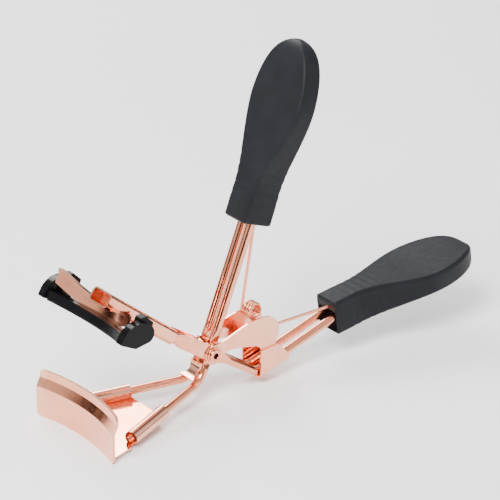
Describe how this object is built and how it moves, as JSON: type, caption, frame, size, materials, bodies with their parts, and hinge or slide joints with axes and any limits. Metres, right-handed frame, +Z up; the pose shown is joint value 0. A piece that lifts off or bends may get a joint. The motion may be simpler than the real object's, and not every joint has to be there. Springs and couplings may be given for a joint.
{
  "type": "eyelash curler",
  "caption": "Hand eyelash curler with bent-wire levers on a tubular rivet, a torsion return spring, moulded grips and a curved jaw closing on a soft pad",
  "frame": {"origin": "under the middle of the whole curler, on the surface that the lower jaw plate's bottom edge stands on", "axes": "+X from the jaws to the handles, +Y along the pivot rivet, +Z up"},
  "size_m": [0.1126, 0.0324, 0.0801],
  "materials": {
    "rose_gold": "rose-gold plating over polished steel",
    "spring_wire": "rose-gold plated spring wire",
    "grip": "matte charcoal silicone",
    "holder": "black plastic with a soft sheen",
    "pad": "black silicone"
  },
  "bodies": {
    "lever_a": {"lever_a_wire": "rose_gold", "lower_jaw": "rose_gold", "pivot_saddle": "rose_gold", "pivot_rivet": "rose_gold", "pivot_spacer": "rose_gold", "washer_near": "rose_gold", "washer_far": "rose_gold", "grip_a": "grip"},
    "lever_b": {"lever_b_wire": "rose_gold", "leaf_bracket": "rose_gold", "upper_jaw": "rose_gold", "pad_holder": "holder", "silicone_pad": "pad", "grip_b": "grip", "torsion_spring": "spring_wire"}
  },
  "joints": [
    {"name": "jaw_pivot", "type": "hinge", "parent": "lever_a", "child": "lever_b", "pos_m": [-0.02055, 0, 0.0114], "axis": [0, -1, 0], "range_deg": [0, 26.8], "stiffness_Nm_per_rad": 0.25, "springref_deg": -20.05, "deforming": ["torsion_spring"]}
  ]
}
